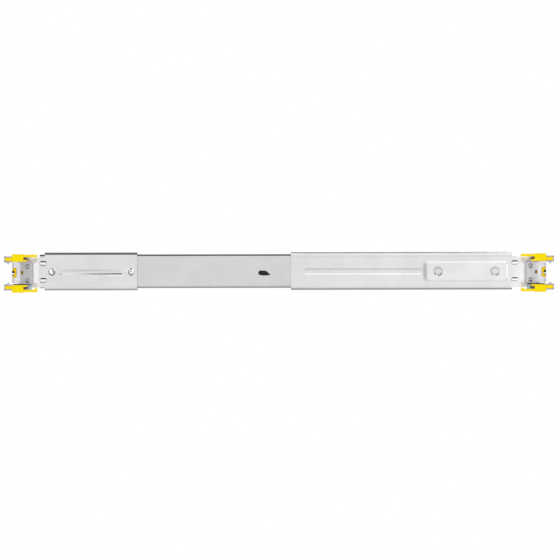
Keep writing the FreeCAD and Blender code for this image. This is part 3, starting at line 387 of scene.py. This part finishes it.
def moulded_plastic(name, tone, shade, edge, roughness, texture):
    """Moulded plastic: fine spark texture, slight drift of colour, and edges tinted to an edge
    colour (painted shade on yellow).
    """
    material, tree, shader = new_material(name)
    edge_mask = use(tree, SHARED_EDGE_MASK, Radius=RUB_AND_SHADE_REACH).outputs["Mask"]
    where = object_place(tree)
    drift = spread(tree, noise(tree, where, DRIFT_FINENESS, detail=3.0), *TIGHT_MOTTLE, 0.0, 1.0)
    colour = blended(tree, maths(tree, "MULTIPLY", edge_mask, RUB_AND_SHADE_SHARE),
                     blended(tree, drift, tone, shade), edge)
    tree.links.new(colour, shader.inputs["Base Color"])
    spark = noise(tree, where, SPARK_FINENESS, detail=2.0)
    smooth, coarse = (roughness + swing for swing in SPARK_ROUGHNESS)
    gloss = spread(tree, spark, *MOTTLE, smooth, coarse)
    shine = maths(tree, "MULTIPLY", edge_mask, RUB_SHINE)
    tree.links.new(maths(tree, "SUBTRACT", gloss, shine), shader.inputs["Roughness"])
    bumped(tree, shader, spark, texture, SPARK_DEPTH)
    shader.inputs["Specular IOR Level"].default_value = PLASTIC_SPECULAR
    return material


# ---- painted light and shade by place ----------------------------------------------------
# All places are in millimetres: X runs back from the front flange's face, -Y faces outboard and
# Z is up. A level of 1 leaves the tone as it is; above 1 is painted light, below 1 painted shade.
def bent_edges(name, top, bottom):
    """Level by height of a folded sheet: bands of painted shade and painted highlight along its
    bends.

    top and bottom list (distance from that edge, level), from the edge inward.
    """
    (_, _, low), (_, _, high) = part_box(name)
    rising = [(low / MM + depth, level) for depth, level in bottom]
    falling = [(high / MM - depth, level) for depth, level in reversed(top)]
    return "Z", tuple(rising + falling)


def outer_face(face, level, full, end):
    """Level by depth: a painted level at an outboard face (in metres) that fades from full to end.
    """
    face /= MM
    return "Y", ((face, level), (face + full, level), (face + end, 1.0), (100, 1.0))


FACE_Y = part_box("rear_channel")[0][1]
BRACKET_RIM_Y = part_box("front_prong_bracket")[0][1]
# Front channel: painted light on the neck by the head; along the top bend a band of painted shade
# with a painted highlight below it, and painted shade along the bottom bend.
FRONT_CHANNEL_PAINTED_LIGHT = (
    ("X", ((0, 1.15), (27.5, 1.12), (31, 1.0), (600, 1.0))),
    bent_edges("front_channel",
               top=((0, 1.0), (0.9, 0.28), (2.8, 0.28), (3.0, 1.12), (3.6, 1.12), (4.0, 1.0)),
               bottom=((0, 0.44), (1.0, 0.44), (1.3, 0.97), (4.0, 1.0))))
# Rear channel: painted light growing towards the right end and brightest on the neck, a painted
# highlight on the raised panel's face, and bands of painted shade and highlight along the bends.
REAR_CHANNEL_PAINTED_LIGHT = (
    ("X", ((0, 1.0), (310, 1.0), (420, 1.03), (540, 1.05), (548, 1.14), (554, 1.16), (558, 1.0),
           (600, 0.97))),
    outer_face(FACE_Y, 1.06, 0.3, 0.8),
    bent_edges("rear_channel",
               top=((0, 1.0), (1.6, 0.90), (2.1, 0.96), (2.5, 1.09), (3.4, 1.09), (3.8, 0.91),
                    (5.4, 0.94), (7.2, 1.0)),
               bottom=((0, 1.0), (0.6, 0.38), (1.4, 0.38), (1.7, 0.92), (3.2, 0.95), (4.0, 1.0))))
# Outer slide: painted shade along its top and bottom bends.
SLIDE_EDGE_PAINTED_SHADE = (
    bent_edges("outer_slide_member",
               top=((0, 0.26), (1.8, 0.34), (2.1, 1.0)),
               bottom=((0, 0.62), (1.4, 0.58), (1.7, 1.0))),)
# End plates: a painted highlight on the slope beside the flange; the rear plate also painted
# lighter all over.
FRONT_PLATE_PAINTED_HIGHLIGHT = (("X", ((0, 1.38), (8.3, 1.34), (8.9, 0.97), (30, 0.97))),)
REAR_PLATE_PAINTED_HIGHLIGHT = (("X", ((555, 1.16), (569.5, 1.18), (571.5, 1.38), (582, 1.40))),)
# Brackets: darker prong tips, painted shade where the bracket runs in behind the channel's neck
# and along its outboard rim, and slight painted light between.
BRACKET_PAINTED_SHADE = (
    ("X", ((-20, 0.30), (-8.0, 0.30), (-7.2, 1.0), (18.8, 1.1), (19.6, 0.70), (300, 0.70),
           (561.6, 0.75), (562.4, 1.1), (588.4, 1.0), (589.2, 0.30), (600, 0.30))),
    outer_face(BRACKET_RIM_Y, 0.72, 0.4, 1.0))
# Threaded insert: a painted highlight band across its middle with painted shade above and below,
# as the reflections of a shiny cylinder seen from the side.
INSERT_PAINTED_HIGHLIGHT = (
    ("Z", ((-4, 0.04), (-2.0, 0.04), (-1.4, 1.2), (0, 1.2), (0.6, 0.04), (4, 0.04))),)


# ---- painted marks and painted light -----------------------------------------------------
def patch(low_x, high_x, low_z, high_z, colour, soft=MARK_FADE):
    """A painted mark with equal soft edges, from and to in X and in Z."""
    return ((low_x - soft, low_x + soft, high_x - soft, high_x + soft),
            (low_z - soft, low_z + soft, high_z - soft, high_z + soft), colour)


TEAL, SKY = (0.02, 0.30, 0.42), (0.45, 0.78, 0.95)
WARM_BLACK, COLD_BLACK = (0.03, 0.02, 0.02), (0.02, 0.02, 0.03)
GOLD_BROWN_SHADE, RED_BROWN_SHADE = (0.08, 0.04, 0.01), (0.12, 0.05, 0.01)
GROOVE_PAINTED_SHADE, HOOD_PAINTED_SHADE = (0.10, 0.10, 0.11), (0.24, 0.24, 0.25)
LIP_PAINTED_HIGHLIGHT, RAMP_PAINTED_SHADE = (0.92, 0.92, 0.93), (0.50, 0.50, 0.51)
RIVET_RIM_PAINTED_SHADE, RIVET_SPOT_PAINTED_REFLECTION = (0.25, 0.25, 0.26), (0.03, 0.03, 0.03)
PAINTED_LIGHT_WHITE = (0.92, 0.92, 0.92)

# Painted reflection along the brackets' lower webs, black through teal to sky blue, and painted
# shade in their dark upper corners.
BRACKET_PAINTED_REFLECTIONS = (
    patch(12.0, 15.0, -17.2, -13.5, WARM_BLACK), patch(15.0, 16.8, -17.2, -14.5, TEAL),
    patch(16.8, 20.4, -17.2, -14.5, SKY), patch(566.0, 569.0, -17.2, -13.5, COLD_BLACK),
    patch(564.2, 566.2, -17.2, -14.5, TEAL), patch(560.8, 564.2, -17.2, -14.5, SKY),
    patch(12.0, 14.2, 15.0, 17.6, GOLD_BROWN_SHADE), patch(566.5, 569.0, 15.0, 17.6, RED_BROWN_SHADE))
# Painted shade in the steep lower wall of the front groove, a painted highlight on the lip below
# it, and painted shade at the groove's front end and under the lanced hoods.
FRONT_CHANNEL_PAINTED_MARKS = (
    ((78, 112, 119.2, 119.8), (-1.5, -1.1, -0.2, 0.2), GROOVE_PAINTED_SHADE),
    ((96, 108, 120.5, 121.5), (-3.0, -2.5, -1.8, -1.4), LIP_PAINTED_HIGHLIGHT),
    patch(51.7, 53.3, -1.5, -0.2, HOOD_PAINTED_SHADE, FINE_FADE),
    patch(30.2, 36.6, 8.0, 8.8, HOOD_PAINTED_SHADE, FINE_FADE),
    patch(30.2, 36.6, -10.3, -9.5, HOOD_PAINTED_SHADE, FINE_FADE))
# Painted shade on the ramp at the front end of the raised panel, and under the lanced hoods.
REAR_CHANNEL_PAINTED_MARKS = (
    ((447.0, 448.4, 450.8, 452.6), (-9.5, -4.0, 8.0, 13.0), RAMP_PAINTED_SHADE),
    patch(544.2, 549.6, 8.9, 9.7, HOOD_PAINTED_SHADE, FINE_FADE),
    patch(543.6, 549.6, -9.1, -8.3, HOOD_PAINTED_SHADE, FINE_FADE))
# Painted shade on the lower rims of the guide rivets, and two dark spots of painted reflection on
# each.
RIVET_PAINTED_RIMS = tuple(
    (centre, (2.4, 4.0), 2.4, RIVET_RIM_PAINTED_SHADE) for centre in ((42.9, 1.6), (130.0, 1.6)))
RIVET_PAINTED_SPOTS = tuple(
    patch(x - half, x + half, low_z, high_z, RIVET_SPOT_PAINTED_REFLECTION, FINE_FADE) for x, half, low_z, high_z in
    ((43.9, 1.1, 3.4, 4.8), (44.3, 0.8, 0.9, 2.4), (129.4, 1.0, 3.6, 5.2), (129.5, 0.6, 1.0, 2.5)))
# White, non-metal patches of painted light beside the release slides' arms, at the corners of the
# necks and on the brackets.
NECK_CORNERS = ((-19.0, -18.5, -12.5, -11.0), (11.5, 13.0, 18.5, 19.0))
FRONT_PAINTED_WHITE = tuple(((19.0, 20.0, 28.5, 29.5), up) for up in NECK_CORNERS)
REAR_PAINTED_WHITE = tuple(((551.7, 552.7, 561.2, 562.2), up) for up in NECK_CORNERS)
BRACKET_PAINTED_WHITE = tuple((along, (13.0, 13.8, 18.5, 19.0)) for along in
                      ((15.0, 15.8, 21.0, 21.5), (559.7, 560.2, 565.4, 566.2)))


# ---- finishes ----------------------------------------------------------------------------
# Finishes by material slot.
FINISHES = {
    "zinc_steel": plated_steel(
        "Bright zinc sheet", tone=(0.75, 0.755, 0.76), edge_wear_and_shade=(0.88, 0.88, 0.88),
        roughness=0.30, grain=0.4, cloud=0.08),
    "dull_steel": plated_steel(
        "Plain zinc sheet", tone=(0.52, 0.50, 0.52), edge_wear_and_shade=(0.70, 0.69, 0.71),
        roughness=0.36, grain=0.3, cloud=0.16),
    "polished_steel": plated_steel(
        "Polished steel", tone=(0.80, 0.81, 0.83), edge_wear_and_shade=(0.92, 0.92, 0.93),
        roughness=0.14, grain=0.1, cloud=0.05),
    "spring_steel": plated_steel(
        "Spring steel", tone=(0.42, 0.42, 0.44), edge_wear_and_shade=(0.66, 0.66, 0.68),
        roughness=0.28, grain=0.2, cloud=0.12),
    # The yellow's darker orange edge colour is painted shade.
    "yellow_plastic": moulded_plastic(
        "Yellow touch plastic", tone=(0.97, 0.77, 0.0), shade=(0.95, 0.73, 0.0),
        edge=(0.80, 0.42, 0.0), roughness=0.42, texture=0.10),
    "black_plastic": moulded_plastic(
        "Black acetal", tone=(0.022, 0.022, 0.024), shade=(0.032, 0.032, 0.034),
        edge=(0.06, 0.06, 0.06), roughness=0.38, texture=0.10),
}

# Finishes of single pieces, by the end of their names. An edge colour darker than the tone is
# painted shade along the edges; a lighter one is rubbed bare metal.
PIECE_FINISHES = {
    "front_channel": plated_steel(
        "Front channel zinc", tone=(0.755, 0.757, 0.76), edge_wear_and_shade=(0.42, 0.42, 0.43),
        roughness=0.30, grain=0.4, cloud=0.07,
        painted_light=FRONT_CHANNEL_PAINTED_LIGHT, painted_marks=FRONT_CHANNEL_PAINTED_MARKS, painted_white=FRONT_PAINTED_WHITE),
    "rear_channel": plated_steel(
        "Rear channel zinc", tone=(0.77, 0.773, 0.776), edge_wear_and_shade=(0.52, 0.52, 0.53),
        roughness=0.30, grain=0.4, cloud=0.07,
        painted_light=REAR_CHANNEL_PAINTED_LIGHT, painted_marks=REAR_CHANNEL_PAINTED_MARKS, painted_white=REAR_PAINTED_WHITE),
    "outer_slide_member": plated_steel(
        "Slide zinc", tone=(0.68, 0.682, 0.685), edge_wear_and_shade=(0.42, 0.42, 0.43),
        roughness=0.30, grain=0.4, cloud=0.06,
        painted_light=SLIDE_EDGE_PAINTED_SHADE),
    # Near-black edge colour: painted shade in the rings of the rivet heads.
    "head_rivets": plated_steel(
        "Head rivet zinc", tone=(0.62, 0.61, 0.62), edge_wear_and_shade=(0.06, 0.06, 0.07),
        roughness=0.30, grain=0.2, cloud=0.10),
    "channel_rivets": plated_steel(
        "Guide rivet zinc", tone=(0.95, 0.95, 0.95), edge_wear_and_shade=(0.60, 0.60, 0.61),
        roughness=0.20, grain=0.2, cloud=0.05,
        painted_marks=RIVET_PAINTED_SPOTS, crescents=RIVET_PAINTED_RIMS),
    "hook_pins": plated_steel(
        "Black oxide pin", tone=(0.06, 0.05, 0.05), edge_wear_and_shade=(0.16, 0.15, 0.15),
        roughness=0.30, grain=0.2, cloud=0.10),
    "prong_bracket": plated_steel(
        "Lilac passivated sheet", tone=(0.72, 0.69, 0.78), edge_wear_and_shade=(0.30, 0.27, 0.33),
        roughness=0.34, grain=0.3, cloud=0.12,
        painted_light=BRACKET_PAINTED_SHADE, painted_marks=BRACKET_PAINTED_REFLECTIONS, painted_white=BRACKET_PAINTED_WHITE),
    "latch_hook": plated_steel(
        "Lilac passivated hook", tone=(0.70, 0.66, 0.74), edge_wear_and_shade=(0.30, 0.26, 0.32),
        roughness=0.34, grain=0.3, cloud=0.12),
    "front_end_plate": plated_steel(
        "Front end plate zinc", tone=(0.58, 0.575, 0.585), edge_wear_and_shade=(0.70, 0.70, 0.72),
        roughness=0.36, grain=0.3, cloud=0.12,
        painted_light=FRONT_PLATE_PAINTED_HIGHLIGHT),
    "rear_end_plate": plated_steel(
        "Rear end plate zinc", tone=(0.58, 0.575, 0.58), edge_wear_and_shade=(0.70, 0.70, 0.71),
        roughness=0.36, grain=0.3, cloud=0.12,
        painted_light=REAR_PLATE_PAINTED_HIGHLIGHT),
    # Holder and peg: darker copies of the yellow plastic, painted shade for the holder behind the
    # flange and the peg in its hole.
    "insert_holder": moulded_plastic(
        "Holder plastic, shaded yellow", tone=(0.88, 0.60, 0.0), shade=(0.84, 0.54, 0.0),
        edge=(0.70, 0.38, 0.0), roughness=0.45, texture=0.10),
    "locating_peg": moulded_plastic(
        "Peg plastic, shaded yellow", tone=(0.42, 0.26, 0.01), shade=(0.34, 0.20, 0.01),
        edge=(0.22, 0.12, 0.01), roughness=0.45, texture=0.10),
    # The insert's dark edge colour and its level band are painted shade and a painted highlight.
    "threaded_insert": plated_steel(
        "Insert with painted highlight and shade", tone=(0.80, 0.81, 0.84), edge_wear_and_shade=(0.10, 0.10, 0.11),
        roughness=0.25, grain=0.1, cloud=0.1,
        painted_light=INSERT_PAINTED_HIGHLIGHT),
}


# ---- pieces ------------------------------------------------------------------------------
def placed(name, data):
    """A new object in the scene for a mesh, a lamp or a camera."""
    made = bpy.data.objects.new(name, data)
    bpy.context.collection.objects.link(made)
    return made


def dress_nodes():
    """Gives every CAD node its own finish, or else that of its material slot."""
    slots = {entry["node"]: entry["material_slot"] for entry in frame["record"]["subparts"]}
    for name, made in frame["nodes"].items():
        own = [finish for ending, finish in PIECE_FINISHES.items() if name.endswith(ending)]
        made.data.materials.clear()
        made.data.materials.append(own[0] if own else FINISHES[slots[name]])


def serpentine(low, high):
    """Strip of a folded flat spring that fills the box from low to high: (points, faces).

    Half circles of radius r, 2 r apart along X, join straight runs of length h along Z. On fold k
    x = x0 + r (2 k + 1 - cos a) and z = z0 + s (h / 2 + r sin a), with a from 0 to pi and s = 1 on
    even folds, -1 on odd ones. The strip's section is carried along that line, half its thickness
    to each side along the normal (-s cos a, sin a) and from one face of the box to the other in Y.
    """
    radius = (high[0] - low[0] - SPRING_STRIP) / (2 * SPRING_FOLDS)
    run = high[2] - low[2] - SPRING_STRIP - 2 * radius
    fold = np.arange(SPRING_FOLDS)[:, None]
    turn = np.linspace(0, np.pi, SPRING_ARC_STEPS + 1)[None, :]
    side = 1 - 2 * (fold % 2)
    foot = np.array((low[0] + SPRING_STRIP / 2, (low[2] + high[2]) / 2))
    line = np.stack((radius * (2 * fold + 1 - np.cos(turn)),
                     side * (run / 2 + radius * np.sin(turn))), axis=-1).reshape(-1, 2)
    normal = np.stack((-side * np.cos(turn), np.sin(turn) + 0 * side), axis=-1).reshape(-1, 2)
    line = foot + np.vstack(((0, -run / 2), line, (2 * radius * SPRING_FOLDS, run / 2)))
    normal = np.vstack(((-1, 0), normal, (-1, 0)))
    left, right = (line + sign * SPRING_STRIP / 2 * normal for sign in (1, -1))
    edges = ((left, high[1]), (left, low[1]), (right, low[1]), (right, high[1]))
    corners = [np.insert(edge, 1, depth, axis=1) for edge, depth in edges]
    points = np.stack(corners, axis=1).reshape(-1, 3)
    start = 4 * np.arange(len(line) - 1)[:, None]
    corner = np.arange(4)[None, :]
    after = (corner + 1) % 4
    walls = np.stack((start + corner, start + after, start + 4 + after, start + 4 + corner),
                     axis=-1)
    ends = [[3, 2, 1, 0], [len(points) - 4 + j for j in range(4)]]
    return points.tolist(), walls.reshape(-1, 4).tolist() + ends


def return_spring(end, level):
    """One return spring, a folded strip built in its solid's box and fixed to its end's frame."""
    solid = f"{end}_{level}_return_spring"
    low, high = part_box(solid)
    mesh = bpy.data.meshes.new(f"{end}_{level}_folded_spring")
    points, faces = serpentine(low, high)
    mesh.from_pydata(points, [], faces)
    mesh.materials.append(FINISHES["spring_steel"])
    made = placed(mesh.name, mesh)
    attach(made, f"{end}_frame")
    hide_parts(solid)
    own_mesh(made)


# ---- studio ------------------------------------------------------------------------------
def world():
    """White walls and a dim ceiling as camera, metal and clear parts see them, and a soft fill."""
    made = bpy.data.worlds.new("Studio")
    bpy.context.scene.world = made
    made.use_nodes = True
    tree = made.node_tree
    tree.nodes.clear()
    around = node(tree, "ShaderNodeSeparateXYZ",
                  Vector=tree.nodes.new("ShaderNodeTexCoord").outputs["Generated"]).outputs
    fill = node(tree, "ShaderNodeBackground", Color=ramp(tree, around["Z"], FILL), Strength=1.0)
    turn = maths(tree, "ARCTAN2", around["Z"], maths(tree, "MULTIPLY", around["Y"], -1.0))
    degrees = maths(tree, "MULTIPLY", turn, 180.0 / math.pi)
    walls = node(tree, "ShaderNodeBackground", Color=ramp(tree, degrees, SURROUND), Strength=1.0)
    ray = tree.nodes.new("ShaderNodeLightPath").outputs
    seen = maths(tree, "MAXIMUM", ray["Is Camera Ray"],
                 maths(tree, "MAXIMUM", ray["Is Glossy Ray"], ray["Is Transmission Ray"]))
    output = tree.nodes.new("ShaderNodeOutputWorld")
    tree.links.new(mixed_shader(tree, seen, fill.outputs[0], walls.outputs[0]),
                   output.inputs[0])


def pale_floor():
    """Plain pale floor well below the rail, which a rack holds up, clear from underneath."""
    corners = np.array([(-1, -1, 0), (1, -1, 0), (1, 1, 0), (-1, 1, 0)], float) * FLOOR_HALF
    corners += (*FLOOR_MIDDLE, FLOOR_HEIGHT)
    mesh = bpy.data.meshes.new("Floor")
    mesh.from_pydata(corners.tolist(), [], [(0, 1, 2, 3)])
    made = placed("Floor", mesh)
    material, tree, shader = new_material("Floor")
    shader.inputs["Base Color"].default_value = FLOOR_TONE
    shader.inputs["Roughness"].default_value = FLOOR_ROUGHNESS
    below = tree.nodes.new("ShaderNodeNewGeometry").outputs["Backfacing"]
    clear = tree.nodes.new("ShaderNodeBsdfTransparent").outputs[0]
    tree.links.new(mixed_shader(tree, below, shader.outputs[0], clear),
                   tree.nodes["Material Output"].inputs["Surface"])
    mesh.materials.append(material)


def soft_lamp(name, place, target, size, power):
    """One rectangular lamp that faces its target."""
    data = bpy.data.lights.new(name, "AREA")
    data.shape = "RECTANGLE"
    data.size, data.size_y = size
    data.energy = power
    made = placed(name, data)
    made.location = place
    facing = Vector(target) - made.location
    made.rotation_euler = facing.to_track_quat("-Z", "Y").to_euler()


def camera():
    """Long lens square to the rail's outboard side."""
    data = bpy.data.cameras.new("Camera")
    data.sensor_width = FILM_WIDTH
    data.lens = FILM_WIDTH * VIEW_DISTANCE / VIEW_WIDTH
    made = placed("Camera", data)
    x, y, z = VIEW_CENTRE
    made.location = (x, y - VIEW_DISTANCE, z)
    made.rotation_euler = (math.radians(90), math.radians(VIEW_ROLL), 0)
    bpy.context.scene.camera = made


dress_nodes()
for end in ("front", "rear"):
    for level in ("upper", "lower"):
        return_spring(end, level)
world()
pale_floor()
for lamp in LAMPS:
    soft_lamp(*lamp)
camera()

bpy.context.scene.view_settings.view_transform = "Standard"
